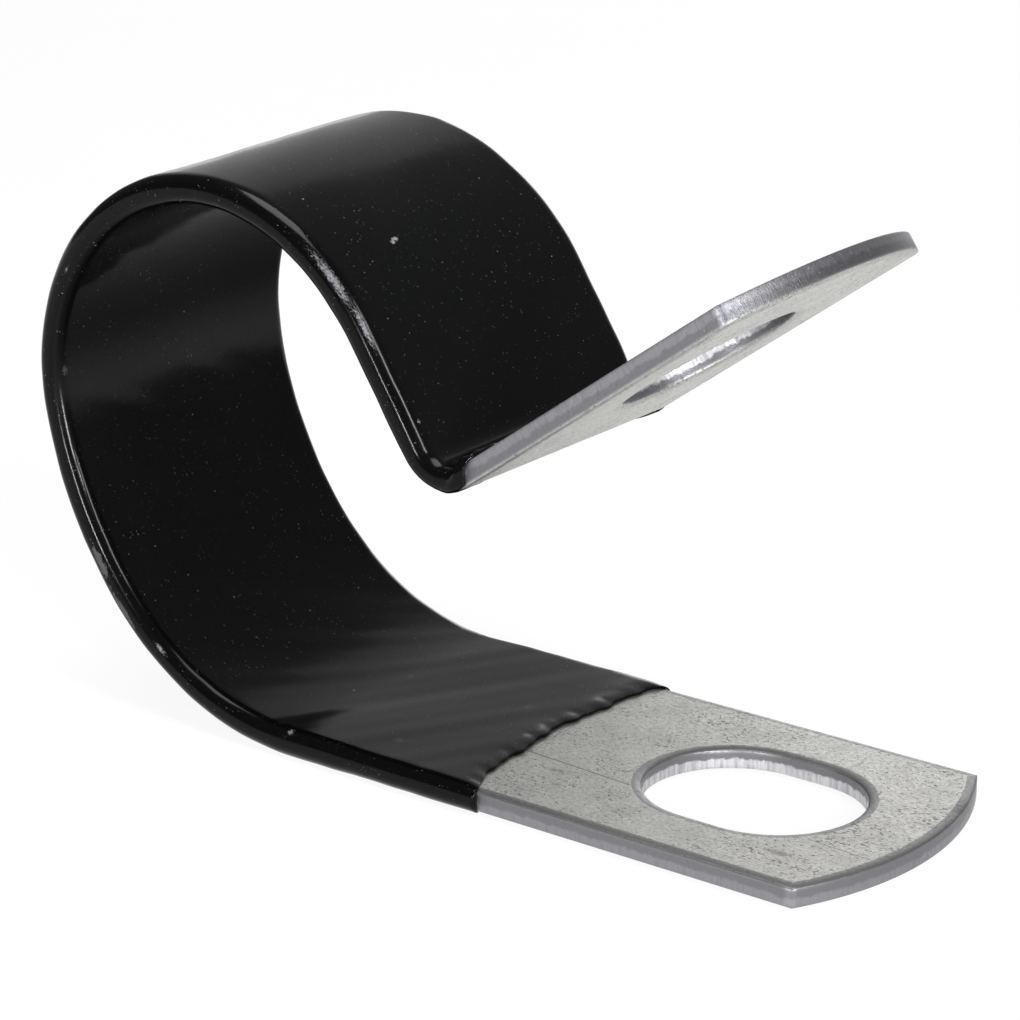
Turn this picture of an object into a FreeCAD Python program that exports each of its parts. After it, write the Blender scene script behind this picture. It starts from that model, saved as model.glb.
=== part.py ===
import FreeCAD, Part
import os
from math import asin, cos, pi, radians, sin

import Sketcher
from FreeCAD import Placement, Rotation, Vector

# A cable clip of the loop kind: a flat steel strap bent round an open loop, with a slot in its lower
# tab and a round hole in its upper one, and a vinyl coat over the bent stretch. The origin is on the
# underside of the lower tab, at the middle of its slot. +X points to that tab's tip and +Z is up.

doc = FreeCAD.newDocument("cable_clip")

# Driving dimensions, in millimetres and degrees. Bend radii are inside radii of the bare steel.
dimensions = [
    ("strap_width", 19.05, "width of the steel strap"),
    ("strap_thickness", 1.2, "thickness of the steel"),
    ("rim_bevel", 0.3, "edge that the blanking die turns over, on the loop's inner face"),
    ("lower_reach", 11.3, "middle of the slot to the tip of the lower tab"),
    ("lower_tip_radius", 19.5, "arc of the lower tab's tip"),
    ("slot_length", 13.2, "slot in the lower tab, end to end"),
    ("slot_width", 10.4, "slot in the lower tab, side to side"),
    ("lower_lead", 25.4, "middle of the lower slot to the first bend"),
    ("heel_radius", 15.9, "first bend, up from the lower tab"),
    ("heel_angle", 50.5, "turn of the first bend"),
    ("flank_radius", 23.6, "flatter back of the loop"),
    ("flank_angle", 29.8, "turn of the back"),
    ("crown_radius", 11.4, "round top of the loop"),
    ("crown_angle", 125.0, "turn of the round top"),
    ("shoulder_radius", 14.0, "run-out of the round top"),
    ("shoulder_angle", 32.5, "turn of the run-out"),
    ("descent", 7.05, "straight stretch down to the tight bend"),
    ("crease_radius", 1.75, "tight bend under the upper tab"),
    ("crease_angle", 93.0, "turn of the tight bend, the other way"),
    ("upper_lead", 11.9, "tight bend to the middle of the upper tab's hole"),
    ("hole_diameter", 10.5, "round hole in the upper tab"),
    ("upper_reach", 11.9, "middle of the hole to the tip of the upper tab"),
    ("upper_tip_radius", 17.5, "arc of the upper tab's tip"),
    ("coat_thickness", 0.3, "vinyl on each face and each edge"),
    ("coat_corner", 0.45, "rounded long edges of the coat"),
    ("coat_start", 12.1, "middle of the lower slot to the coat's lower end, at its corners"),
    ("coat_tail", 0.6, "coat past the tight bend, at its corners"),
    ("coat_sag", 1.25, "how far the coat's ends draw back at mid width"),
    ("coat_lip", 0.18, "bevelled lip of the coat's ends"),
]
sheet = doc.addObject("Spreadsheet::Sheet", "sizes")
for row, (alias, number, note) in enumerate(dimensions, start=1):
    sheet.set(f"A{row}", note)
    sheet.set(f"B{row}", str(number))
    sheet.setAlias(f"B{row}", alias)
doc.recompute()

# how far a cut passes beyond what it cuts
overrun = 1.0
# how near an edge must lie to a face to be taken as on it
near = 0.01


def amount(expression):
    return float(sheet.evalExpression(expression))


def addSketch(body, name, plane):
    sketch = body.newObject("Sketcher::SketchObject", name)
    origin = [part for part in body.Origin.OriginFeatures if part.Role == plane]
    sketch.AttachmentSupport = (origin[0], [""])
    sketch.MapMode = "FlatFace"
    return sketch


def drive(sketch, constraint, name, expression):
    # a dimension of the sketch, tied to the sheet
    number = amount(expression)
    if constraint[0] == "Angle":
        number = radians(number)
    index = sketch.addConstraint(Sketcher.Constraint(*constraint, number))
    sketch.renameConstraint(index, name)
    sketch.setExpression(f"Constraints.{name}", expression)


def measure(sketch, constraint, name):
    # a dimension that the sketch only reports, for other objects to read
    index = sketch.addConstraint(Sketcher.Constraint(*constraint, 1.0))
    sketch.setDriving(index, False)
    sketch.renameConstraint(index, name)


def relate(sketch, *constraint):
    sketch.addConstraint(Sketcher.Constraint(*constraint))


def addPath(body, name, firstRun, lastRun):
    # The strap's mid-plane seen from the side: straight runs and bends, each tangent to the next.
    # It sets out from the lower tab towards -X. A turn of -1 is clockwise, 1 the other way.
    sketch = addSketch(body, name, "XZ_Plane")
    stretches = [
        ("first_run", 0, firstRun),
        ("heel", -1, None),
        ("flank", -1, None),
        ("crown", -1, None),
        ("shoulder", -1, None),
        ("descent", 0, "sizes.descent"),
        ("crease", 1, None),
        ("last_run", 0, lastRun),
    ]
    heading = pi
    point = Vector(amount(f"{firstRun} - sizes.lower_lead"), amount("sizes.strap_thickness / 2"), 0)
    for index, (name, turn, run) in enumerate(stretches):
        along = Vector(cos(heading), sin(heading), 0)
        if turn == 0:
            point, start = point + along * amount(run), point
            sketch.addGeometry(Part.LineSegment(start, point))
            drive(sketch, ("Distance", index), name, run)
        else:
            radius = f"sizes.{name}_radius + sizes.strap_thickness / 2"
            swing = turn * radians(amount(f"sizes.{name}_angle"))
            towardsCentre = Vector(-sin(heading), cos(heading), 0) * turn
            centre = point + towardsCentre * amount(radius)
            fromAngle = heading - turn * pi / 2
            circle = Part.Circle(centre, Vector(0, 0, 1), amount(radius))
            sketch.addGeometry(Part.ArcOfCircle(circle, *sorted((fromAngle, fromAngle + swing))))
            drive(sketch, ("Radius", index), f"{name}_radius", radius)
            drive(sketch, ("Angle", index), f"{name}_angle", f"sizes.{name}_angle")
            heading += swing
            point = centre - Vector(-sin(heading), cos(heading), 0) * turn * amount(radius)
        entry, leave = (2, 1) if turn < 0 else (1, 2)
        if index > 0:
            relate(sketch, "Tangent", index - 1, previousLeave, index, entry)
        previousLeave = leave
    last = len(stretches) - 1
    relate(sketch, "Horizontal", 0)
    drive(sketch, ("DistanceX", 0, 2, -1, 1), "lower_lead", "sizes.lower_lead")
    drive(sketch, ("DistanceY", -1, 1, 0, 2), "mid_height", "sizes.strap_thickness / 2")
    measure(sketch, ("DistanceX", -1, 1, last, 2), "end_x")
    measure(sketch, ("DistanceY", -1, 1, last, 2), "end_z")
    return sketch


def addSection(body, name, station, halfWidth, halfHeight, form, lowSize, highSize):
    # A band's section, across the lower tab at a station along X and centred on the mid-plane.
    # Its low edges face down there, and its high edges face into the loop. A corner is square
    # where its size is None, and otherwise round or bevelled, as the form says.
    sketch = addSketch(body, name, "YZ_Plane")
    middle = "sizes.strap_thickness / 2"
    sketch.AttachmentOffset = Placement(Vector(0, amount(middle), amount(station)), Rotation())
    sketch.setExpression("AttachmentOffset.Base.y", middle)
    sketch.setExpression("AttachmentOffset.Base.z", station)

    wide, tall = amount(halfWidth), amount(halfHeight)
    signs = [(-1, -1), (1, -1), (1, 1), (-1, 1)]
    steps = [Vector(1, 0, 0), Vector(0, 1, 0), Vector(-1, 0, 0), Vector(0, -1, 0)]
    sizes = [lowSize, lowSize, highSize, highSize]
    corners = [Vector(across * wide, up * tall, 0) for across, up in signs]
    insets = [amount(size) if size else 0 for size in sizes]
    for index, step in enumerate(steps):
        after = (index + 1) % 4
        start = corners[index] + step * insets[index]
        end = corners[after] - step * insets[after]
        sketch.addGeometry(Part.LineSegment(start, end))
        relate(sketch, "Horizontal" if index % 2 == 0 else "Vertical", index)
    for index, size in enumerate(sizes):
        before = (index - 1) % 4
        if size is None:
            relate(sketch, "Coincident", before, 2, index, 1)
        elif form == "round":
            inset = insets[index]
            centre = corners[index] + (steps[index] - steps[before]) * inset
            circle = Part.Circle(centre, Vector(0, 0, 1), inset)
            fromAngle = pi + index * pi / 2
            arc = sketch.addGeometry(Part.ArcOfCircle(circle, fromAngle, fromAngle + pi / 2))
            relate(sketch, "Tangent", before, 2, arc, 1)
            relate(sketch, "Tangent", arc, 2, index, 1)
            drive(sketch, ("Radius", arc), f"round_{index}", size)
        else:
            start = corners[index] - steps[before] * insets[index]
            end = corners[index] + steps[index] * insets[index]
            bevel = sketch.addGeometry(Part.LineSegment(start, end))
            relate(sketch, "Coincident", before, 2, bevel, 1)
            relate(sketch, "Coincident", bevel, 2, index, 1)
            for axis, leg in (("X", end.x - start.x), ("Y", end.y - start.y)):
                first, second = (1, 2) if leg > 0 else (2, 1)
                legEnds = (f"Distance{axis}", bevel, first, bevel, second)
                drive(sketch, legEnds, f"bevel_{index}_{axis}", size)
    drive(sketch, ("DistanceX", -1, 1, 1, 1), "right_side", halfWidth)
    drive(sketch, ("DistanceX", 3, 1, -1, 1), "left_side", halfWidth)
    drive(sketch, ("DistanceY", -1, 1, 2, 1), "high_side", halfHeight)
    drive(sketch, ("DistanceY", 0, 1, -1, 1), "low_side", halfHeight)
    return sketch


def addPipe(body, kind, name, section, path):
    pipe = body.newObject(f"PartDesign::{kind}Pipe", name)
    pipe.Profile = section
    pipe.Spine = (path, [""])
    pipe.Mode = "Standard"
    return pipe


def addPlanSketch(body, name, path=None, back="0"):
    # A plan sketch in the strap's mid-plane. With no path it lies on the lower tab, with its origin
    # at the slot. With one it lies on the upper tab, with its origin a distance back from the
    # path's end. Its X runs to the tab's tip.
    sketch = addSketch(body, name, "XY_Plane")
    if path is None:
        height = "sizes.strap_thickness / 2"
        sketch.AttachmentOffset = Placement(Vector(0, 0, amount(height)), Rotation())
        sketch.setExpression("AttachmentOffset.Base.z", height)
        return sketch
    loop = "sizes.heel_angle + sizes.flank_angle + sizes.crown_angle + sizes.shoulder_angle"
    slope = f"({loop} - 180 - sizes.crease_angle)"
    sketch.AttachmentOffset = Placement(Vector(0, 0, 0), Rotation(Vector(0, 1, 0), amount(slope)))
    ends = f"{path.Name}.Constraints"
    originX = f"{ends}.end_x - {back} * 1 mm * cos({slope} * 1 deg)"
    originZ = f"{ends}.end_z + {back} * 1 mm * sin({slope} * 1 deg)"
    sketch.setExpression("AttachmentOffset.Base.x", originX)
    sketch.setExpression("AttachmentOffset.Base.z", originZ)
    sketch.setExpression("AttachmentOffset.Rotation.Angle", f"{slope} * 1 deg")
    return sketch


def drawSlot(sketch):
    halfRun = "(sizes.slot_length - sizes.slot_width) / 2"
    run, radius = amount(halfRun), amount("sizes.slot_width / 2")
    right = Part.Circle(Vector(run, 0, 0), Vector(0, 0, 1), radius)
    left = Part.Circle(Vector(-run, 0, 0), Vector(0, 0, 1), radius)
    sketch.addGeometry(Part.ArcOfCircle(right, -pi / 2, pi / 2))
    sketch.addGeometry(Part.LineSegment(Vector(run, radius, 0), Vector(-run, radius, 0)))
    sketch.addGeometry(Part.ArcOfCircle(left, pi / 2, 3 * pi / 2))
    sketch.addGeometry(Part.LineSegment(Vector(-run, -radius, 0), Vector(run, -radius, 0)))
    for index in range(4):
        relate(sketch, "Tangent", index, 2, (index + 1) % 4, 1)
    relate(sketch, "PointOnObject", 0, 3, -1)
    relate(sketch, "PointOnObject", 2, 3, -1)
    drive(sketch, ("Radius", 0), "end_radius", "sizes.slot_width / 2")
    drive(sketch, ("DistanceX", -1, 1, 0, 3), "right_run", halfRun)
    drive(sketch, ("DistanceX", 2, 3, -1, 1), "left_run", halfRun)


def drawHole(sketch):
    radius = "sizes.hole_diameter / 2"
    sketch.addGeometry(Part.Circle(Vector(0, 0, 0), Vector(0, 0, 1), amount(radius)))
    relate(sketch, "Coincident", 0, 3, -1, 1)
    drive(sketch, ("Radius", 0), "radius", radius)


def drawTrim(sketch, crown, radius, side, halfWidth, far):
    # What is cut away from the end of a band: all beyond an arc that crosses X at the crown, out
    # to a far line. A side of -1 rounds the end, and 1 draws it back at mid width.
    middle = f"({crown}) + {side} * ({radius})"
    reach, half = amount(radius), amount(halfWidth)
    lean = asin(half / reach)
    circle = Part.Circle(Vector(amount(middle), 0, 0), Vector(0, 0, 1), reach)
    facing = 0 if side < 0 else pi
    sketch.addGeometry(Part.ArcOfCircle(circle, facing - lean, facing + lean))
    edge = amount(middle) - side * reach * cos(lean)
    high, low = (2, 1) if side < 0 else (1, 2)
    outline = [(edge, half), (amount(far), half), (amount(far), -half), (edge, -half)]
    corners = [Vector(x, y, 0) for x, y in outline]
    for start, end in zip(corners, corners[1:]):
        sketch.addGeometry(Part.LineSegment(start, end))
    relate(sketch, "Coincident", 0, high, 1, 1)
    relate(sketch, "Coincident", 1, 2, 2, 1)
    relate(sketch, "Coincident", 2, 2, 3, 1)
    relate(sketch, "Coincident", 3, 2, 0, low)
    relate(sketch, "Horizontal", 1)
    relate(sketch, "Vertical", 2)
    relate(sketch, "Horizontal", 3)
    relate(sketch, "PointOnObject", 0, 3, -1)
    drive(sketch, ("Radius", 0), "arc_radius", radius)
    drive(sketch, ("DistanceX", -1, 1, 0, 3), "arc_middle", middle)
    drive(sketch, ("DistanceX", -1, 1, 2, 1), "far_side", far)
    drive(sketch, ("DistanceY", -1, 1, 2, 1), "high_side", halfWidth)
    drive(sketch, ("DistanceY", 2, 2, -1, 1), "low_side", halfWidth)


def addCut(body, name, sketch, depth):
    # a cut to both sides of the sketch, square to it
    cut = body.newObject("PartDesign::Pocket", name)
    cut.Profile = sketch
    cut.SideType = "Symmetric"
    cut.Type = "Length"
    cut.Length = amount(depth)
    cut.setExpression("Length", depth)
    return cut


def breakEdges(body, name, base, size, plans, isWanted):
    # bevels the edges that isWanted picks, from their middle as each plan sketch sees it
    doc.recompute()
    picked = []
    for index, edge in enumerate(base.Shape.Edges, start=1):
        middle = edge.valueAt((edge.FirstParameter + edge.LastParameter) / 2)
        for plan, facts in plans:
            if isWanted(plan.Placement.inverse().multVec(middle), facts):
                picked.append(f"Edge{index}")
    bevel = body.newObject("PartDesign::Chamfer", name)
    bevel.Base = (base, picked)
    bevel.Size = amount(size)
    bevel.setExpression("Size", size)
    return bevel


def buildStrap():
    body = doc.addObject("PartDesign::Body", "steel_strap")
    body.Label = "steel_strap"
    halfWidth = "sizes.strap_width / 2"
    halfHeight = "sizes.strap_thickness / 2"
    start = "sizes.lower_reach"
    firstRun = "(sizes.lower_reach + sizes.lower_lead)"
    path = addPath(body, "strap_path", firstRun, "sizes.upper_lead + sizes.upper_reach")
    rims = ("bevelled", None, "sizes.rim_bevel")
    section = addSection(body, "strap_section", start, halfWidth, halfHeight, *rims)
    addPipe(body, "Additive", "bent_band", section, path)
    doc.recompute()

    # the loop's inner face is up on the lower tab, side 1, and down on the upper one, side -1
    onUpperTab = {"path": path, "back": "sizes.upper_reach"}
    tabs = [
        ("lower", "slot", drawSlot, "sizes.slot_length / 2", {}, 1),
        ("upper", "hole", drawHole, "sizes.hole_diameter / 2", onUpperTab, -1),
    ]
    depth = f"sizes.strap_thickness + {2 * overrun}"
    halfTrim = f"{halfWidth} + {overrun}"
    plans = []
    for tab, opening, drawOpening, openingEnd, place, side in tabs:
        tip = addPlanSketch(body, f"{tab}_tip_plan", **place)
        reach = f"sizes.{tab}_reach"
        drawTrim(tip, reach, f"sizes.{tab}_tip_radius", -1, halfTrim, f"{reach} + {overrun}")
        addCut(body, f"{tab}_tip", tip, depth)
        plan = addPlanSketch(body, f"{opening}_plan", **place)
        drawOpening(plan)
        lastCut = addCut(body, opening, plan, depth)
        plans.append((plan, (side, amount(openingEnd))))

    halfThick = amount(halfHeight)
    flatHalf = amount(f"{halfWidth} - sizes.rim_bevel")

    def isTabRim(middle, tab):
        side, openingEnd = tab
        isOnInnerFace = abs(middle.z * side - halfThick) < near
        return isOnInnerFace and middle.x > -openingEnd - near and abs(middle.y) < flatHalf - near

    breakEdges(body, "tab_rims", lastCut, "sizes.rim_bevel", plans, isTabRim)
    return body


def buildCoat():
    body = doc.addObject("PartDesign::Body", "vinyl_coat")
    body.Label = "vinyl_coat"
    steelHalfWidth = "sizes.strap_width / 2"
    steelHalfHeight = "sizes.strap_thickness / 2"
    halfWidth = f"{steelHalfWidth} + sizes.coat_thickness"
    halfHeight = f"{steelHalfHeight} + sizes.coat_thickness"
    start = "-sizes.coat_start"
    path = addPath(body, "coat_path", "(sizes.lower_lead - sizes.coat_start)", "sizes.coat_tail")
    corners = ("round", "sizes.coat_corner", "sizes.coat_corner")
    outside = addSection(body, "coat_section", start, halfWidth, halfHeight, *corners)
    rims = ("bevelled", None, "sizes.rim_bevel")
    inside = addSection(body, "steel_section", start, steelHalfWidth, steelHalfHeight, *rims)
    addPipe(body, "Additive", "coat_band", outside, path)
    addPipe(body, "Subtractive", "steel_space", inside, path)
    doc.recompute()

    # an arc whose middle draws back by the sag over the coat's half width
    arcRadius = f"(({halfWidth}) ^ 2 + sizes.coat_sag ^ 2) / (2 * sizes.coat_sag)"
    halfTrim = f"{halfWidth} + {overrun}"
    plans = []
    for end, crown, place in (
        ("lower", "-sizes.coat_start - sizes.coat_sag", {}),
        ("upper", "-sizes.coat_sag", {"path": path}),
    ):
        plan = addPlanSketch(body, f"{end}_end_plan", **place)
        drawTrim(plan, crown, arcRadius, 1, halfTrim, f"{crown} + sizes.coat_sag + {overrun}")
        lastCut = addCut(body, f"{end}_end", plan, f"2 * ({halfHeight} + {overrun})")
        plans.append((plan, amount(crown)))

    reach = amount(arcRadius)
    skin = amount("sizes.coat_thickness") / 2
    wide, tall = amount(steelHalfWidth) + skin, amount(steelHalfHeight) + skin

    def isOuterRim(middle, crown):
        fromCentre = Vector(middle.x - crown - reach, middle.y, 0).Length
        isOnEnd = abs(fromCentre - reach) < near and middle.x < crown + reach
        return isOnEnd and abs(middle.z) < 2 * tall and (abs(middle.y) > wide or abs(middle.z) > tall)

    breakEdges(body, "end_lips", lastCut, "sizes.coat_lip", plans, isOuterRim)
    return body


bodies = [buildStrap(), buildCoat()]
doc.recompute()

for item in doc.Objects:
    if "Invalid" in item.State or "Error" in item.State:
        raise RuntimeError(f"{item.Name} failed: {item.State}")
for body in bodies:
    if body.Shape.isNull() or not body.Shape.isValid() or len(body.Shape.Solids) != 1:
        raise RuntimeError(f"{body.Label} isn't one sound solid")

os.makedirs("parts", exist_ok=True)
for body in bodies:
    body.Shape.exportStep(f"parts/{body.Label}.step")
    print(body.Label, f"{body.Shape.Volume:.1f} mm3", body.Shape.BoundBox)
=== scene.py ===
from math import cos, radians, sin

import bmesh
import bpy
import numpy as np
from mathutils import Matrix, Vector


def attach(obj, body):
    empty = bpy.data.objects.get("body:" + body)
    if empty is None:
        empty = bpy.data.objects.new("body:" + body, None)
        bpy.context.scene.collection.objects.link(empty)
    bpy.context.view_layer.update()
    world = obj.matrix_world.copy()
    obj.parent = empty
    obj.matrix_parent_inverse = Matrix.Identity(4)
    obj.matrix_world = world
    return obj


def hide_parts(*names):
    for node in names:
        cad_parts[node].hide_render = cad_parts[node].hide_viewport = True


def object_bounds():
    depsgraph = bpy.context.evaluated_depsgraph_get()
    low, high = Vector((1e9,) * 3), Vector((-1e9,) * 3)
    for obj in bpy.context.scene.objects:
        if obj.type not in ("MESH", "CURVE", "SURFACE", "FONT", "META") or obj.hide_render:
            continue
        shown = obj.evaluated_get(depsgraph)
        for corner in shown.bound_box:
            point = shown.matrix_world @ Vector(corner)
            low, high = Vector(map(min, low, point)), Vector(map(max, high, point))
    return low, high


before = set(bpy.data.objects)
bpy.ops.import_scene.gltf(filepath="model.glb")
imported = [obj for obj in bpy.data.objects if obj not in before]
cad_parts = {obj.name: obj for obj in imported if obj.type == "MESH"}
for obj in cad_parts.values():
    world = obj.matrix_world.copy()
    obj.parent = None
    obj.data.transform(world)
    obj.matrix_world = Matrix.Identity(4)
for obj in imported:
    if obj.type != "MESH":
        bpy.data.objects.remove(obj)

# The looks of an open cable clip: a zinc plated steel strap with a slot in its lower tab and a hole
# in its upper one, bent round a loop, and a dipped black vinyl coat over the bent stretch.
# Lengths are in millimetres. A place on the strap is its station, counted along the mid-plane from
# the lower tip, its place across, along +y, and its place off the mid-plane, towards the loop.
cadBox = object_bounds()
mm = 0.001

# The strap's mid-plane seen from the side. A run has a length. A bend has the radius of the
# mid-plane and its turn in degrees. Round its middle the crown stands higher by its lift and leans
# up to the far rim by its lean times the place across. Past the crease the strap lies back by its
# yaw at mid-width, by twice that at the far rim and by nothing at the near one.
clip = {
    "halfWidth": 9.525,
    "halfThick": 0.6,
    "coat": 0.3,
    "tabReach": 11.3,  # from the middle of the slot to the lower tip
    "crown": {"middle": 74.5, "reach": 14.0, "lift": 0.25, "lean": 0.035},
    "yaw": {"size": 0.25, "before": 2.0, "run": 5.0},  # it starts before the crease
    "stretches": [
        {"run": 36.65},  # lower tab and lead
        {"radius": 16.5, "turn": -50.6},  # heel
        {"radius": 23.7, "turn": -29.1},  # flank
        {"radius": 12.37, "turn": -125.0},  # crown
        {"radius": 14.75, "turn": -32.5},  # shoulder
        {"run": 6.85},  # descent
        {"radius": 2.35, "turn": 92.4},  # crease
        {"run": 23.1},  # upper lead and tab
    ],
}


def startsOf(lengths):
    # where each of several lengths starts when they follow one another: the sum of those before it
    return np.concatenate([[0], np.cumsum(lengths)[:-1]])


def smooth(share):
    # a smooth step: 3 s^2 - 2 s^3 of the share held between 0 and 1
    held = np.clip(share, 0, 1)
    return held ** 2 * (3 - 2 * held)


def bell(distance, reach):
    # one where the distance is nothing, falling as e to the minus square of distance over reach
    return np.exp(-(distance / reach) ** 2)


def layPath(stretches):
    # the stations where stretches meet, and the heading, curvature and start point of each; along
    # a bend x and z are the integrals of cosine and sine of a heading that turns evenly
    nearlyStraight = 1e-9  # a run's curvature, so that the bends' formula serves it too
    turns = np.radians([s.get("turn", 0.0) for s in stretches])
    radii = np.array([s.get("radius", 0.0) for s in stretches])
    lengths = np.array([s.get("run", 0.0) for s in stretches]) + radii * np.abs(turns)
    bends = np.where(turns == 0, nearlyStraight, turns / lengths)
    heads = np.pi + startsOf(turns)
    ends = heads + bends * lengths
    stepX = (np.sin(ends) - np.sin(heads)) / bends
    stepZ = (np.cos(heads) - np.cos(ends)) / bends
    startX = clip["tabReach"] + startsOf(stepX)
    startZ = clip["halfThick"] + startsOf(stepZ)
    stations = np.concatenate([[0], np.cumsum(lengths)])
    return {"stations": stations, "heads": heads, "bends": bends, "x": startX, "z": startZ}


path = layPath(clip["stretches"])
creaseStart, creaseEnd, upperTip = path["stations"][6:9]


def onStrap(places):
    # the point at each place: the mid-plane's point at its station, plus its place off times the
    # normal. The crown's climb fades as a bell curve, and the yaw comes in by a smooth step.
    station, across, off = places[..., 0], places[..., 1], places[..., 2]
    index = np.searchsorted(path["stations"], station, side="right") - 1
    index = np.clip(index, 0, len(path["heads"]) - 1)
    head = path["heads"][index]
    bend = path["bends"][index]
    turned = head + bend * (station - path["stations"][index])
    x = path["x"][index] + (np.sin(turned) - np.sin(head)) / bend
    z = path["z"][index] + (np.cos(head) - np.cos(turned)) / bend
    crown, yaw = clip["crown"], clip["yaw"]
    climb = (crown["lift"] + crown["lean"] * across) * bell(station - crown["middle"], crown["reach"])
    past = smooth((station - creaseStart + yaw["before"]) / yaw["run"])
    back = yaw["size"] * (1 + across / clip["halfWidth"]) * past
    return np.stack([x + off * np.sin(turned) - back, across, z - off * np.cos(turned) + climb], axis=-1)


def gridQuads(rows, columns):
    # the quads of a grid of points: each point with its neighbours below, beside and between them
    index = np.arange(rows * columns).reshape(rows, columns)
    return np.stack([index[:-1, :-1], index[1:, :-1], index[1:, 1:], index[:-1, 1:]], axis=-1)


def weldMesh(mesh):
    # drops the points that no face uses, merges double points, and turns all faces outwards
    doubleDistance = 1e-7  # in metres
    shell = bmesh.new()
    shell.from_mesh(mesh)
    bmesh.ops.delete(shell, geom=[v for v in shell.verts if not v.link_faces], context="VERTS")
    bmesh.ops.remove_doubles(shell, verts=shell.verts, dist=doubleDistance)
    bmesh.ops.recalc_face_normals(shell, faces=shell.faces)
    shell.to_mesh(mesh)
    shell.free()
    mesh.polygons.foreach_set("use_smooth", np.ones(len(mesh.polygons), bool))


def layUV(mesh):
    # a corner's UV is its point's station and place across, divided by the width of the UV square
    squareWidth = 100
    spots = np.zeros(len(mesh.vertices) * 3, np.float32)
    mesh.attributes["place"].data.foreach_get("vector", spots)
    corners = np.zeros(len(mesh.loops), np.int32)
    mesh.loops.foreach_get("vertex_index", corners)
    layer = mesh.uv_layers.new(name="strapUV")
    layer.data.foreach_set("uv", (spots.reshape(-1, 3)[corners, :2] / squareWidth).ravel())


def buildPiece(name, places, quads, rims):
    # a closed smooth piece whose points stand on the strap at the given places; each point keeps
    # its place and its three rim values as attributes, which the materials read
    mesh = bpy.data.meshes.new(name)
    mesh.from_pydata((onStrap(places) * mm).tolist(), [], quads.tolist())
    for label, values in (("place", places), ("rim", rims)):
        layer = mesh.attributes.new(label, "FLOAT_VECTOR", "POINT")
        layer.data.foreach_set("vector", values.astype(np.float32).ravel())
    weldMesh(mesh)
    layUV(mesh)
    piece = bpy.data.objects.new(name, mesh)
    bpy.context.scene.collection.objects.link(piece)
    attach(piece, "root")
    return piece


# The blanked strap. The die rolls the rim of its inner face over, and leaves a wall with a fine burr
# below. A tab is laid out from its tip: an arc cuts it off, and its opening is two half rounds with
# a run between them. Its skew moves the tip along at mid-width, and tilts it towards the far side.
strap = {
    "rollWide": 0.52,
    "rollDeep": 0.15,
    "rollSteps": 8,
    "rollMargin": 0.1,  # a row on the flat face beside the roll
    "rollShares": (0.8, 1.0, 0.55),  # the share of the roll's painted shade where the roll starts, where it ends, and on the wall below
    "wallSteps": 7,
    "depthsOnRoll": (0.06, 0.14),  # on the roll's last rows
    "depthOnWall": 0.25,  # where the wall starts
    "depthsUnder": (1, 0.6, 0),  # past the burr
    "burr": 0.04,
    "burrHeight": 0.05,
    "burrFoot": 0.3,  # the part of the burr that its first row takes
    "underMargin": 0.12,  # a row on the outer face beside the burr
    "faceSteps": 40,
    "sideSteps": 44,
    "arcSteps": 61,
    "seamSteps": 33,
    "bandSteps": 300,
    "lower": {
        "tipRadius": 19.5,
        "middle": 11.05,
        "halfRun": 1.25,
        "radius": 5.2,
        "seam": 27.0,
        "skew": (-0.08, 0.25),
    },
    "upper": {
        "tipRadius": 17.5,
        "middle": 11.9,
        "halfRun": 0.0,
        "radius": 5.25,
        "seam": 26.6,
        "skew": (0.15, 0.15),
    },
}


def rimProfile():
    # rows from the inner face over the rim to the outer face: inset from the wall, height off the
    # mid-plane, share of the roll's painted shade and depth down the wall. The roll is a quarter of an
    # ellipse, the share of painted shade fades from the roll down the wall, and the depth grows from
    # nothing to one.
    half, burr, margin = clip["halfThick"], strap["burr"], strap["rollWide"] + strap["rollMargin"]
    foot = strap["burrFoot"] * burr
    startShare, endShare, wallShare = strap["rollShares"]
    turn = np.linspace(0, np.pi / 2, strap["rollSteps"])
    inset = strap["rollWide"] * (1 - np.sin(turn))
    off = half - strap["rollDeep"] * (1 - np.cos(turn))
    down = np.linspace(off[-1], strap["burrHeight"] - half, strap["wallSteps"])[1:]
    inset = np.concatenate([[margin], inset, 0 * down, [foot, burr, strap["underMargin"]]])
    off = np.concatenate([[half], off, down, [foot - half, -half, -half]])
    rollShade = startShare + (endShare - startShare) * np.sin(turn)
    roll = np.concatenate([[0.0], rollShade, np.linspace(wallShare, 0, len(down)), [0, 0, 0]])
    onWall = np.linspace(strap["depthOnWall"], 1, len(down))
    depth = np.concatenate([0 * turn[:-1], strap["depthsOnRoll"], onWall, strap["depthsUnder"]])
    return inset, off, roll, depth


def tabOutline(tab, inset):
    # the tab's edge set in from its real one: from the seam along a side to the tip's arc, round
    # the arc, back along the other side, and across the seam; stations count from the tip
    wide, arc = clip["halfWidth"] - inset, tab["tipRadius"] - inset
    corner = tab["tipRadius"] - np.sqrt(arc ** 2 - wide ** 2)
    side = np.linspace(tab["seam"], corner, strap["sideSteps"])[:-1]
    turn = np.linspace(-1, 1, strap["arcSteps"]) * np.arcsin(wide / arc)
    seam = np.linspace(1, -1, strap["seamSteps"])[1:-1]
    tip = tab["tipRadius"] - arc * np.cos(turn)
    along = np.concatenate([side, tip, side[::-1], tab["seam"] + 0 * seam])
    across = np.concatenate([side * 0 - wide, arc * np.sin(turn), side * 0 + wide, wide * seam])
    shift, tilt = tab["skew"]
    skewed = (shift + tilt * across / clip["halfWidth"]) * (1 - along / tab["seam"])
    return np.stack([along + skewed, across], axis=-1)


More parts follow.
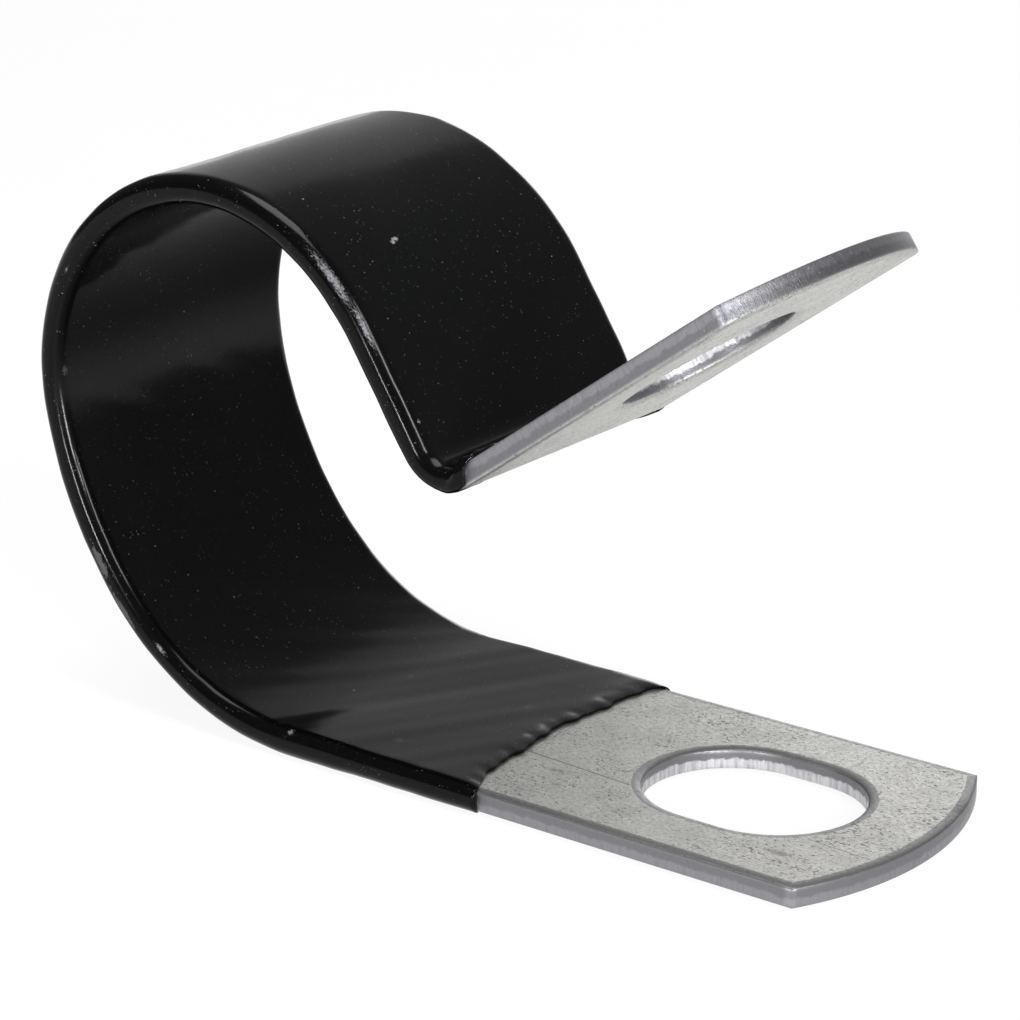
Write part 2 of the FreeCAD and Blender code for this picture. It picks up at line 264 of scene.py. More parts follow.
def openingOutline(tab, angles, inset):
    # where rays from the opening's middle meet its edge, set outwards into the face: the sides'
    # straight lines where they are nearer than the half rounds' run, and else the half rounds
    nearlyLevel = 1e-9  # the least rise of a ray, so that a level one divides by something
    radius, halfRun = tab["radius"] + inset, tab["halfRun"]
    flat = radius / np.maximum(np.abs(np.sin(angles)), nearlyLevel)
    half = np.sqrt(radius ** 2 - (halfRun * np.sin(angles)) ** 2)
    reach = halfRun * np.abs(np.cos(angles)) + half
    reach = np.where(np.abs(flat * np.cos(angles)) <= halfRun, flat, reach)
    return np.stack([tab["middle"] + reach * np.cos(angles), reach * np.sin(angles)], axis=-1)


def layTab(tab, fromUpperTip):
    # a ring of rows that starts at the opening's rim, crosses the inner face, goes over the outer
    # rim, comes back along the outer face and climbs the opening's wall. Rows on the faces are
    # evenly mixed from the opening's outline and the tab's. The rim is left out along the seam.
    inset, off, roll, wall = rimProfile()
    edge = tabOutline(tab, 0.0)
    angles = np.arctan2(edge[:, 1], edge[:, 0] - tab["middle"])
    outer = np.array([tabOutline(tab, i) for i in inset])
    hole = np.array([openingOutline(tab, angles, i) for i in inset])
    share = np.linspace(0, 1, strap["faceSteps"] + 1)[1:-1, None, None]
    inner = hole[0] + (outer[0] - hole[0]) * share
    under = outer[-1] + (hole[-1] - outer[-1]) * share
    plan = np.concatenate([hole[:1], inner, outer, under, hole[::-1]])
    plan = np.concatenate([plan, plan[:, :1]], axis=1)
    flat = np.zeros(len(share))
    heights = np.concatenate([off[:1], flat + off[0], off, flat + off[-1], off[::-1]])
    rolls = np.concatenate([roll[:1], flat, roll, flat, roll[::-1]])
    walls = np.concatenate([wall[:1], flat, wall, flat, wall[::-1]])
    opening = np.concatenate([[1.0], flat, 0 * roll, flat, 0 * roll + 1.0])
    rows, columns = plan.shape[:2]
    places = np.dstack([plan, np.broadcast_to(heights[:, None], (rows, columns))])
    places[..., 0] = upperTip - places[..., 0] if fromUpperTip else places[..., 0]
    rims = np.stack([rolls, walls, opening], axis=-1)[:, None, :] * np.ones((1, columns, 1))
    quads = gridQuads(rows, columns)
    seamStart = len(edge) - (strap["seamSteps"] - 2) - 1
    rimStart = strap["faceSteps"]
    keep = np.ones(quads.shape[:2], bool)
    keep[rimStart:rimStart + len(inset) - 1, seamStart:] = False
    return places.reshape(-1, 3), quads[keep].reshape(-1, 4), rims.reshape(-1, 3)


def layBand():
    # the stretch between the two tabs: one closed section, swept over even stations from the lower
    # seam to the upper one
    inset, off, roll, wall = rimProfile()
    wide = clip["halfWidth"] - inset
    seam = np.linspace(1, -1, strap["seamSteps"])
    flat = 0 * seam
    across = np.concatenate([wide[0] * seam, -wide[1:-1], -wide[-1] * seam, wide[-2:0:-1], wide[:1]])
    height = np.concatenate([flat + off[0], off[1:-1], flat + off[-1], off[-2:0:-1], off[:1]])
    rolls = np.concatenate([flat, roll[1:-1], flat, roll[-2:0:-1], roll[:1]])
    walls = np.concatenate([flat, wall[1:-1], flat, wall[-2:0:-1], wall[:1]])
    stations = np.linspace(strap["lower"]["seam"], upperTip - strap["upper"]["seam"], strap["bandSteps"])
    shape = (len(stations), len(across))
    station = np.broadcast_to(stations[:, None], shape)
    places = np.stack([station, np.broadcast_to(across, shape), np.broadcast_to(height, shape)], axis=-1)
    rims = np.broadcast_to(np.stack([rolls, walls, 0 * walls], axis=-1), shape + (3,))
    return places.reshape(-1, 3), gridQuads(*shape).reshape(-1, 4), rims.reshape(-1, 3)


def makeStrap():
    # the two tabs and the band between them in one mesh: each part's quads count on from the points
    # of the parts before it, and the points along both seams are merged
    parts = [layTab(strap["lower"], False), layBand(), layTab(strap["upper"], True)]
    starts = startsOf([len(places) for places, quads, rims in parts])
    places = np.concatenate([part[0] for part in parts])
    quads = np.concatenate([part[1] + int(start) for part, start in zip(parts, starts)])
    rims = np.concatenate([part[2] for part in parts])
    piece = buildPiece("steel_strap_skin", places, quads, rims)
    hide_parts("steel_strap")
    return piece


# The vinyl coat on the strap. A wave is (height, turns per mm along, turns per mm across, start).
# The swell's parts are: a bead before the upper end, a thin stretch on the inner face through the
# crease, and at the lower edge a feathered end and pinches; each has a size and a reach.
coat = {
    "lowerEnd": 23.55,
    "skew": 0.45,  # how much later the lower end comes at the far side
    "sag": 1.4,  # how far the lower end draws back at mid-width
    "upperEnd": -0.6,  # from the end of the crease, on the inner face
    "upperTail": 1.9,  # how much further the upper end comes on the outer face
    "upperSag": 0.9,
    "sagPower": 2.2,
    "tailPower": 1.5,
    "upperRagged": 0.6,  # the upper end's share of the scallops
    "outerCorner": 0.78,
    "innerCorner": 0.70,
    "bulge": 0.1,  # of the short sides
    "sideBand": 0.9,  # how near the short sides a point swells with them
    "bead": {"size": 0.14, "before": 0.5, "reach": 0.45, "sideways": 0.5},
    "creaseThin": {"size": 0.17, "before": 1.0, "run": 2.5},
    "feather": {"size": 0.11, "reach": 0.5},
    "pinch": {"size": 0.015, "past": 0.4, "reach": 0.4, "above": 0.45},
    "swellSideways": 0.4,  # the short sides' share of the swell
    "insidePower": 3,  # how soon a point off the mid-plane counts as the inner face
    "steelOverlap": 0.01,  # how deep the coat's inner skin lies in the steel
    "steelCorner": 0.12,
    "alongSteps": 340,
    "gathered": 0.78,  # how much closer the rows stand at both ends
    "innerEvery": 4,  # the inner skin has one row for so many of the outer one's
    "lipSteps": 6,
    "flatSteps": 78,
    "sideSteps": 7,
    "cornerSteps": 9,
    "waves": [(0.020, 0.05, 0.07, 0.3), (0.014, 0.13, 0.06, 1.9), (0.008, 0.27, 0.14, 4.1),
              (0.004, 0.46, 0.25, 2.2)],
    "scallops": [(0.13, 0.0, 0.14, 1.2), (0.07, 0.0, 0.37, 0.2), (0.045, 0.0, 0.71, 2.5)],
    "pinches": [(1, 0, 0.43, 0.4), (0.7, 0, 0.71, 2.0)],
}
coatWide = clip["halfWidth"] + clip["coat"]
coatTall = clip["halfThick"] + clip["coat"]


def ripple(along, across, waves):
    # a smooth uneven field: the sum of height x sin(2 pi (p along + q across) + start) of each wave
    return sum(w * np.sin(2 * np.pi * (p * along + q * across) + r) for w, p, q, r in waves)


def roundedSection(halfWide, halfTall, lowCorner, highCorner, bulge):
    # a rounded rectangle, anticlockwise from its low right corner: quarter circles of the given
    # radii joined by straight lines, with its two short sides swelling out as half a sine wave
    turn = np.linspace(0, np.pi / 2, coat["cornerSteps"])
    signs = [(1, -1, lowCorner), (1, 1, highCorner), (-1, 1, highCorner), (-1, -1, lowCorner)]
    across, off = [], []
    for quarter, (signAcross, signOff, corner) in enumerate(signs):
        angle = turn + (quarter - 1) * np.pi / 2
        across.append(signAcross * (halfWide - corner) + corner * np.cos(angle))
        off.append(signOff * (halfTall - corner) + corner * np.sin(angle))
        nextCorner = signs[(quarter + 1) % 4][2]
        if quarter % 2 == 0:  # up or down a short side
            ends = (signOff * (halfTall - corner), -signOff * (halfTall - nextCorner))
            line = np.linspace(*ends, coat["sideSteps"] + 2)[1:-1]
            across.append(np.full(len(line), signAcross * halfWide))
            off.append(line)
        else:  # along a long side
            line = np.linspace(1, -1, coat["flatSteps"] + 2)[1:-1] * signAcross * (halfWide - corner)
            across.append(line)
            off.append(np.full(len(line), signOff * halfTall))
    across, off = np.concatenate(across), np.concatenate(off)
    besideEdge = np.abs(across) > halfWide - coat["sideBand"]
    swell = bulge * np.cos(np.clip(off / halfTall, -1, 1) * np.pi / 2) * besideEdge
    return across + np.sign(across) * swell, off


def layCoatEnds(across, off):
    # the stations of the coat's two ends round the section: both draw back at mid-width by their
    # sag times 1 less a power of the share of the half width, with small scallops, and the upper
    # one runs further on the outer face
    share = across / coatWide
    outerSide = 0.5 - 0.5 * np.clip(off / coatTall, -1, 1)
    sag = 1 - np.abs(share) ** coat["sagPower"]
    ragged = ripple(0 * across, across, coat["scallops"])
    lower = coat["lowerEnd"] + coat["skew"] * share + coat["sag"] * sag + ragged
    tail = coat["upperEnd"] + coat["upperTail"] * outerSide ** coat["tailPower"]
    upper = creaseEnd + tail - coat["upperSag"] * sag + coat["upperRagged"] * ragged
    return lower, upper


def layOuterSkin(across, off, lower, upper, even):
    # the section at stations from the lower end to the upper one, closer together at both ends:
    # the even share less a sine wave. Its height grows by 1 + swell / half height, where the swell
    # is the waves and the bead less the thin stretch, the pinches and the feathered edge.
    along = even - coat["gathered"] * np.sin(2 * np.pi * even) / (2 * np.pi)
    stations = lower + (upper - lower) * along
    fromLower, fromUpper = stations - lower, upper - stations
    inside = np.clip(off / coatTall, 0, 1) ** coat["insidePower"]
    thinned, feather, pinch, beaded = coat["creaseThin"], coat["feather"], coat["pinch"], coat["bead"]
    intoCrease = np.clip((stations - creaseStart + thinned["before"]) / thinned["run"], 0, 1)
    thin = thinned["size"] * inside * intoCrease
    spots = np.clip(ripple(0 * across, across, coat["pinches"]) - pinch["above"], 0, 1)
    pinched = pinch["size"] * spots * bell(fromLower - pinch["past"], pinch["reach"])
    feathered = feather["size"] * np.exp(-fromLower / feather["reach"])
    bead = beaded["size"] * (1 - inside) * bell(fromUpper - beaded["before"], beaded["reach"])
    swell = ripple(stations, across, coat["waves"]) + bead - thin - inside * (pinched + feathered)
    sideways = 1 + (coat["swellSideways"] * swell + beaded["sideways"] * bead) / coatWide
    return np.stack([stations, across * sideways, off * (1 + swell / coatTall)], axis=-1)


def layLip(ring, steelAcross, steelOff, station, outwards):
    # half a turn from a ring of the outer skin to the steel: the mix is 0.5 - 0.5 cos, and the lip
    # bulges past the end by half the coat's thickness times the sine
    turn = np.linspace(0, np.pi, coat["lipSteps"] + 2)[1:-1][:, None]
    mix = 0.5 - 0.5 * np.cos(turn)
    stations = station + outwards * 0.5 * clip["coat"] * np.sin(turn)
    across = ring[:, 1] + (steelAcross - ring[:, 1]) * mix
    off = ring[:, 2] + (steelOff - ring[:, 2]) * mix
    return np.stack([stations, across, off], axis=-1)


def makeCoat():
    # the outer skin runs from the lower end to the upper one, turns over a round lip, comes back
    # along the steel and turns over the lower lip, so that the grid closes both ways
    overlap, corner = coat["steelOverlap"], coat["steelCorner"]
    corners = (coat["outerCorner"], coat["innerCorner"])
    across, off = roundedSection(coatWide, coatTall, *corners, coat["bulge"])
    steelWide, steelTall = clip["halfWidth"] - overlap, clip["halfThick"] - overlap
    steelAcross, steelOff = roundedSection(steelWide, steelTall, corner, corner, 0.0)
    lower, upper = layCoatEnds(across, off)
    even = np.linspace(0, 1, coat["alongSteps"])[:, None]
    outer = layOuterSkin(across, off, lower, upper, even)
    back = lower + (upper - lower) * (1 - even[::coat["innerEvery"]])
    inner = np.stack([back, steelAcross + 0 * back, steelOff + 0 * back], axis=-1)
    upperLip = layLip(outer[-1], steelAcross, steelOff, upper, 1)
    lowerLip = layLip(outer[0], steelAcross, steelOff, lower, -1)[::-1]
    places = np.concatenate([outer, upperLip, inner, lowerLip, outer[:1]])
    places = np.concatenate([places, places[:, :1]], axis=1)
    quads = gridQuads(*places.shape[:2]).reshape(-1, 4)
    places = places.reshape(-1, 3)
    piece = buildPiece("vinyl_coat_skin", places, quads, 0 * places)
    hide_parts("vinyl_coat")
    return piece


class Finish:
    # a material with short ways to add nodes: a plain value is set on a socket, and another node's
    # socket is linked to it
    def __init__(self, name):
        self.material = bpy.data.materials.new(name)
        self.material.use_nodes = True
        self.tree = self.material.node_tree
        self.shader = self.tree.nodes["Principled BSDF"]

    def put(self, socket, value):
        if isinstance(value, bpy.types.NodeSocket):
            self.tree.links.new(value, socket)
        else:
            socket.default_value = value

    def add(self, kind, values, result=0, **settings):
        node = self.tree.nodes.new("ShaderNode" + kind)
        for key, value in settings.items():
            setattr(node, key, value)
        for key, value in values:
            self.put(node.inputs[key], value)
        return node.outputs[result]

    def read(self, label):
        # an attribute of the mesh
        return self.add("Attribute", [], result="Vector", attribute_name=label)

    def split(self, vector):
        # the three parts of a vector
        return self.add("SeparateXYZ", [(0, vector)]).node.outputs

    def calc(self, operation, *values):
        return self.add("Math", enumerate(values), operation=operation)

    def vector(self, operation, first, second, result=0):
        return self.add("VectorMath", [(0, first), (1, second)], result=result, operation=operation)

    def length(self, vector):
        return self.add("VectorMath", [(0, vector)], result="Value", operation="LENGTH")

    def most(self, values):
        # the greatest of several shares
        top = values[0]
        for value in values[1:]:
            top = self.calc("MAXIMUM", top, value)
        return top

    def step(self, value, low, high, start=0.0, end=1.0):
        # from start to end by a smooth step, as the value goes from low to high
        span = [("Value", value), ("From Min", low), ("From Max", high)]
        results = [("To Min", start), ("To Max", end)]
        return self.add("MapRange", span + results, interpolation_type="SMOOTHSTEP")

    def blend(self, share, first, second):
        # the colour (1 - share) x first + share x second
        return self.add("Mix", [(0, share), (6, first), (7, second)], result=2, data_type="RGBA")

    def noises(self, place, patterns):
        # a noise for each pattern: (stretch of the place, turns per mm, detail, roughness)
        made = {}
        for name, (stretch, scale, detail, rough) in patterns.items():
            stretched = self.vector("MULTIPLY", place, stretch)
            values = [("Vector", stretched), ("Scale", scale), ("Detail", detail), ("Roughness", rough)]
            made[name] = self.add("TexNoise", values)
        return made

    def spot(self, place, middle, size, full):
        # the distance from the middle in units of the size, stepped from one, where the spot ends,
        # to the distance where it is full
        away = self.vector("SUBTRACT", place, middle)
        return self.step(self.length(self.vector("DIVIDE", away, size)), 1.0, full)

    def line(self, place, start, end, width):
        # one on a straight line between two places and up to a fifth of the width beside it,
        # falling to nothing at the width; the line's nearest point is its start plus the held
        # share of its run
        run = Vector(end) - Vector(start)
        away = self.vector("SUBTRACT", place, start)
        share = self.vector("DOT_PRODUCT", away, run / run.length_squared, result="Value")
        held = self.add("Clamp", [("Value", share)])
        near = self.add("VectorMath", [(0, run), ("Scale", held)], operation="SCALE")
        return self.step(self.length(self.vector("SUBTRACT", away, near)), width, 0.2 * width)

    def patch(self, place, marks, pattern, span):
        # the marks' spots broken up by a pattern: the pattern plus half the spot, stepped over the
        # span, and faded out over the outer fifth of the spot
        inside = self.most([self.spot(place, *mark, 0.0) for mark in marks])
        broken = self.step(self.calc("MULTIPLY_ADD", inside, 0.5, pattern), *span)
        return self.calc("MULTIPLY", broken, self.step(inside, 0.0, 0.2))

    def close(self, colour, roughness, height, strength, depth):
        # the shader's colour and roughness, and a bump of the given height pattern
        bump = self.add("Bump", [("Strength", strength), ("Distance", depth), ("Height", height)])
        self.put(self.shader.inputs["Base Color"], colour)
        self.put(self.shader.inputs["Roughness"], roughness)
        self.put(self.shader.inputs["Normal"], bump)
        return self.material


# The steel's colours, noise patterns and marks. A range is where a step starts and ends, and its two
# results. A line is (start, end, width): a long scratch, a fainter one past the slot, and an arc of
# wear beside the slot. A smudge is (middle, size): grey dents and soft stains.
steelLooks = {
    "face": (0.58, 0.575, 0.55, 1),
    "faceDark": (0.40, 0.398, 0.385, 1),
    "pit": (0.16, 0.16, 0.16, 1),
    # painted shade: the dark tone of the rolled rim; the same tone also darkens the wall's upright
    # streaks
    "roll": (0.19, 0.19, 0.195, 1),
    "wall": (0.185, 0.185, 0.203, 1),
    "wallLow": (0.26, 0.26, 0.28, 1),
    # painted highlight: the bright band on an opening's wall
    "tornAndHighlight": (0.60, 0.60, 0.62, 1),
    "metallic": 0.92,
    "bump": (0.4, 0.00002),  # its strength, and its depth in metres
    "patterns": {
        "cloud": ((1.0, 1.0, 1.0), 0.55, 4.0, 0.6),
        "grain": ((1.0, 1.7, 1.0), 3.2, 4.0, 0.62),
        "pitted": ((1.0, 1.4, 1.0), 4.4, 2.0, 0.5),
        "gathered": ((1.0, 1.0, 1.0), 0.35, 1.0, 0.5),
        "fine": ((1.0, 1.3, 1.0), 7.5, 3.0, 0.6),
        "streaky": ((1.0, 1.0, 0.12), 4.5, 4.0, 0.65),
        "tornAndHighlight": ((1.0, 1.0, 0.5), 1.6, 3.0, 0.6),
    },
    "ranges": {
        "cloud": (0.35, 0.7, 0.0, 0.55),
        "grain": (0.38, 0.66, 0.0, 0.6),
        "pits": (0.70, 0.84),
        "specks": (0.48, 0.70, 0.0, 0.5),
        "smudge": (0.3, 0.6, 0.25, 0.8),
        "low": (0.48, 0.66),  # down the wall, where its lower tone starts
        "streaks": (0.44, 0.70, 0.0, 0.5),
        "highlightBand": (0.42, 0.56),  # down an opening's wall, where the painted highlight band starts
        "highlightStreaks": (0.30, 0.60, 0.35, 1.0),
        "roll": (0.32, 0.72),
        "upperRollLit": (59.0, 61.0, 0.80, 0.22),  # by station: less of the roll's painted shade past the crown's middle, so the upper tab's roll is painted paler, as lit
        "wall": (0.08, 0.24),
        "roughness": (0.3, 1.0, 0.40, 0.58),
        "fineRelief": (0.4, 0.8, 0.0, 0.4),
    },
    "gatheredShare": 0.25,  # how much the pits gather in places
    "darkest": 0.78,  # the share of the pits' tone in a full mark
    "scratchShare": 0.95,
    "wearShare": 0.45,
    "smudgeFull": 0.1,  # how near its middle, in its size, a smudge is full
    "tornRagged": 0.5,
    "rollRagged": 1.1,
    "pitsRougher": 0.5,
    "relief": {"grain": 0.5, "cuts": -0.9, "streaks": 1.6},
    "scratches": [((24.6, -3.2, 0.6), (16.9, -3.7, 0.6), 0.085),
                  ((4.9, -3.85, 0.6), (0.9, -4.1, 0.6), 0.05)],
    "wear": [((16.6, -6.6, 0.6), (13.4, -7.4, 0.6), 0.06), ((13.4, -7.4, 0.6), (9.7, -7.1, 0.6), 0.05)],
    "smudges": [((21.2, -4.5, 0.6), (0.9, 0.4, 1)), ((20.1, -6.1, 0.6), (0.6, 0.3, 1)),
                ((5.2, -6.3, 0.6), (1.3, 0.5, 1)), ((114.7, -9.5, 0.3), (0.8, 1, 0.35)),
                ((119.0, -9.5, 0.35), (0.5, 1, 0.3)), ((0.9, 5.0, 0.6), (0.7, 1.8, 1))],
}


def colourFace(finish, place, noise):
    # the zinc face: its pale tone darkened by the cloud and by the grain, and then by the greatest
    # of its pits, specks, smudges, wear and scratches; it gives that share and the cuts too
    looks, ranges = steelLooks, steelLooks["ranges"]
    pitted = finish.calc("MULTIPLY_ADD", noise["gathered"], looks["gatheredShare"], noise["pitted"])
    pits = finish.step(pitted, *ranges["pits"])
    specks = finish.step(noise["fine"], *ranges["specks"])
    stained = finish.step(noise["grain"], *ranges["smudge"])
    spots = finish.most([finish.spot(place, *mark, looks["smudgeFull"]) for mark in looks["smudges"]])
    wear = finish.most([finish.line(place, *mark) for mark in looks["wear"]])
    scratches = finish.most([finish.line(place, *mark) for mark in looks["scratches"]])
    smudged = finish.calc("MULTIPLY", spots, stained)
    worn = finish.calc("MULTIPLY", wear, looks["wearShare"])
    scratched = finish.calc("MULTIPLY", scratches, looks["scratchShare"])
    dark = finish.most([pits, specks, smudged, worn, scratched])
    face = finish.blend(finish.step(noise["cloud"], *ranges["cloud"]), looks["face"], looks["faceDark"])
    face = finish.blend(finish.step(noise["grain"], *ranges["grain"]), face, looks["faceDark"])
    face = finish.blend(finish.calc("MULTIPLY", dark, looks["darkest"]), face, looks["pit"])
    return face, dark, finish.most([pits, scratches])


def colourWall(finish, wall, opening, noise):
    # the blanked wall: one tone above and another below a ragged line, and fine upright streaks; round
    # an opening, a painted highlight: a bright band broken into bright streaks. The depth down the wall
    # is made ragged by the tornAndHighlight noise
    looks, ranges = steelLooks, steelLooks["ranges"]
    tornAndHighlight = finish.calc("SUBTRACT", noise["tornAndHighlight"], 0.5)
    depth = finish.calc("MULTIPLY_ADD", tornAndHighlight, looks["tornRagged"], wall)
    side = finish.blend(finish.step(depth, *ranges["low"]), looks["wall"], looks["wallLow"])
    side = finish.blend(finish.step(noise["streaky"], *ranges["streaks"]), side, looks["roll"])
    # painted highlight: a bright band round an opening's wall, broken into streaks
    highlightBand = finish.calc("MULTIPLY", finish.step(depth, *ranges["highlightBand"]), opening)
    bright = finish.step(noise["streaky"], *ranges["highlightStreaks"])
    return finish.blend(highlightBand, side, finish.blend(bright, looks["wallLow"], looks["tornAndHighlight"]))


def makeSteel():
    # zinc over rolled steel: the face's colour gives way to the wall's down the rim, and both to the
    # roll's painted shade where the rim's share of roll, made ragged by the grain, is high; past the
    # crown's middle less shade is painted, so the upper tab's roll is paler
    finish = Finish("platedSteel")
    looks, ranges = steelLooks, steelLooks["ranges"]
    place = finish.read("place")
    roll, wall, opening = finish.split(finish.read("rim"))
    noise = finish.noises(place, looks["patterns"])
    face, dark, cuts = colourFace(finish, place, noise)
    onWall = finish.step(wall, *ranges["wall"])
    grain = finish.calc("SUBTRACT", noise["grain"], 0.5)
    ragged = finish.calc("MULTIPLY_ADD", grain, looks["rollRagged"], roll)
    # painted shade on the rolled rim, with less of it on the upper tab, whose roll is painted paler as
    # lit
    paler = finish.step(finish.split(place)[0], *ranges["upperRollLit"])
    rollShade = finish.calc("MULTIPLY", finish.step(ragged, *ranges["roll"]), paler)
    colour = finish.blend(onWall, face, colourWall(finish, wall, opening, noise))
    colour = finish.blend(rollShade, colour, looks["roll"])
    rough = finish.calc("MULTIPLY_ADD", dark, looks["pitsRougher"], noise["grain"])
    roughness = finish.step(rough, *ranges["roughness"])
    finish.put(finish.shader.inputs["Metallic"], looks["metallic"])

    # the relief: shares of the grain and the fine noise, less the cuts, plus the wall's streaks
    relief = looks["relief"]
    streaks = finish.calc("MULTIPLY", onWall, relief["streaks"])
    fine = finish.step(noise["fine"], *ranges["fineRelief"])
    grainy = finish.calc("MULTIPLY_ADD", noise["grain"], relief["grain"], fine)
    carved = finish.calc("MULTIPLY_ADD", cuts, relief["cuts"], grainy)
    height = finish.calc("MULTIPLY_ADD", noise["streaky"], streaks, carved)
    return finish.close(colour, roughness, height, *looks["bump"])


# The vinyl's colours, patterns and marks. A mark is (middle, size): pale scuffs along the outer
# corner and on the near side, a rough grey chip with its scraped trail, light rubs on the faces and
# single specks of grit.
vinylLooks = {
    "colour": (0.0020, 0.0020, 0.0021, 1),
    "chalk": (0.30, 0.30, 0.32, 1),
    "chip": (0.075, 0.075, 0.078, 1),
    "refraction": 1.27,
    "chalkShare": 0.8,
    "rubShare": 0.5,
    "dustShare": 0.6,
    "dullness": 0.35,  # how much rougher a full mark is
    "bump": (0.35, 0.00003),  # its strength, and its depth in metres
    "relief": {"skin": 0.5, "chips": -0.8, "scuffs": 0.3},
    "patterns": {
        "slow": ((1.0, 1.0, 1.0), 0.22, 2.0, 0.5),
        "ragged": ((1.0, 1.6, 1.6), 2.4, 5.0, 0.7),
        "thread": ((0.8, 2.4, 2.0), 9.0, 4.0, 0.75),
        "powder": ((1.0, 1.0, 1.0), 9.0, 1.0, 0.5),
        "sparse": ((1.0, 1.3, 1.0), 1.15, 1.0, 0.5),
        "skin": ((1.0, 1.0, 1.0), 1.1, 3.0, 0.5),
    },
    "ranges": {
        "scuffs": (0.87, 1.06),
        "chips": (0.66, 0.72),
        "rubs": (0.96, 1.14),
        "specks": (0.80, 0.95),
        "powder": (0.72, 0.77),
        "sparse": (0.44, 0.60),
        "gloss": (0.3, 0.7, 0.13, 0.18),
        "innerFace": (0.3, 0.85),  # by the place off the mid-plane
        "ceiling": (63.0, 69.0, 0.30, 1.0),  # by station: fully under the crown, partly below it
        "nearSide": (-9.72, -9.84, 0.0, 0.45),  # by the place across
        "level": (0.0, 1.0, 0.55, 0.08),
    },
    "scuffs": [((95.1, -9.72, -0.62), (5.6, 0.8, 0.7)), ((72.3, -9.8, 0.15), (1.0, 0.5, 0.4)),
               ((98.2, -9.65, -0.72), (3.8, 0.6, 0.5)), ((47.2, -9.8, 0.4), (1.6, 0.4, 0.4)),
               ((23.9, -9.7, 0.35), (0.35, 0.4, 0.3)), ((36.4, -9.6, 0.75), (0.6, 0.6, 0.5)),
               ((104.0, -9.1, -0.9), (0.45, 0.3, 0.4))],
    "chips": [((53.7, -9.8, 0.05), (2.0, 0.5, 0.42)), ((50.6, -9.8, -0.15), (2.3, 0.4, 0.30))],
    "rubs": [((30.5, -7.0, 0.9), (1.3, 1.2, 0.5)), ((65.5, -9.3, 0.9), (1.2, 0.9, 0.5)),
             ((36.4, 1.1, 0.9), (0.9, 0.7, 0.5)), ((27.9, 1.5, 0.9), (1.2, 1.8, 0.5))],
    "specks": [((94.25, -4.05, -0.9), (0.34, 0.46, 0.5)), ((94.1, -3.75, -0.9), (0.3, 0.66, 0.5)),
               ((97.7, 7.1, -0.9), (0.13, 0.13, 0.5)), ((89.9, -7.0, -0.9), (0.12, 0.16, 0.5)),
               ((75.0, -9.5, 0.6), (0.12, 0.4, 0.5)), ((37.6, -2.7, 0.9), (0.3, 0.14, 0.5)),
               ((92.0, 6.0, -0.9), (0.10, 0.10, 0.5))],
}


def makeVinyl():
    # dipped vinyl: near black and glossy, slightly uneven, with dust and the marks above. The marks
    # pale the colour by the greatest of their shares, and make the gloss rougher.
    finish = Finish("blackVinyl")
    looks, ranges = vinylLooks, vinylLooks["ranges"]
    place = finish.read("place")
    noise = finish.noises(place, looks["patterns"])
    scuffs = finish.patch(place, looks["scuffs"], noise["thread"], ranges["scuffs"])
    chips = finish.patch(place, looks["chips"], noise["ragged"], ranges["chips"])
    rubs = finish.patch(place, looks["rubs"], noise["thread"], ranges["rubs"])
    specks = finish.patch(place, looks["specks"], noise["ragged"], ranges["specks"])
    powder = finish.step(noise["powder"], *ranges["powder"])
    dust = finish.calc("MULTIPLY", powder, finish.step(noise["sparse"], *ranges["sparse"]))
    rubbed = finish.calc("MULTIPLY", rubs, looks["rubShare"])
    dusty = finish.calc("MULTIPLY", dust, looks["dustShare"])
    chalky = finish.most([scuffs, rubbed, specks, dusty])
    colour = finish.blend(chips, looks["colour"], looks["chip"])
    colour = finish.blend(finish.calc("MULTIPLY", chalky, looks["chalkShare"]), colour, looks["chalk"])
    gloss = finish.step(noise["slow"], *ranges["gloss"])
    dull = finish.most([scuffs, chips, dust, specks])
    roughness = finish.calc("MULTIPLY_ADD", dull, looks["dullness"], gloss)

    # the vinyl reflects less on its inner face under the crown and on its near side; this lowered
    # reflection is painted shade
    station, across, off = finish.split(place)
    underCrown = finish.step(station, *ranges["ceiling"])
    ceiling = finish.calc("MULTIPLY", finish.step(off, *ranges["innerFace"]), underCrown)
    nearSide = finish.step(across, *ranges["nearSide"])
    level = finish.step(finish.most([ceiling, nearSide]), *ranges["level"])
    finish.put(finish.shader.inputs["IOR"], looks["refraction"])
    finish.put(finish.shader.inputs["Specular IOR Level"], level)

    # the relief: a share of the skin's noise, less the chips, plus a little for the scuffs
    relief = looks["relief"]
    skin = finish.calc("MULTIPLY", noise["skin"], relief["skin"])
    chipped = finish.calc("MULTIPLY_ADD", chips, relief["chips"], skin)
    height = finish.calc("MULTIPLY_ADD", scuffs, relief["scuffs"], chipped)
    return finish.close(colour, roughness, height, *looks["bump"])


# the camera stands where the photograph's own did: its aim, its direction and distance from the
# aim, and its lens come from one fit to the strap's outline
camera = {
    "aim": (-13.36, -4.36, 15.70),
    "azimuth": 38.10,
    "elevation": 18.35,
    "distance": 197.64,
    "lens": 127.2,
    "sensor": 36,
    "clip": (0.01, 20),  # in metres
}


def makeCamera():
    # the eye is the aim plus the distance times the direction back from it, which azimuth turns
    # round from -y and elevation raises; it looks the other way along that direction
    turn, rise = radians(camera["azimuth"]), radians(camera["elevation"])
    back = Vector((sin(turn) * cos(rise), -cos(turn) * cos(rise), sin(rise)))
    data = bpy.data.cameras.new("photoCamera")
    data.sensor_width = camera["sensor"]
    data.lens = camera["lens"]
    data.clip_start, data.clip_end = camera["clip"]
    eye = bpy.data.objects.new("photoCamera", data)
    eye.location = (Vector(camera["aim"]) + back * camera["distance"]) * mm
    eye.rotation_euler = (-back).to_track_quat("-Z", "Y").to_euler()
    bpy.context.scene.collection.objects.link(eye)
    bpy.context.scene.camera = eye


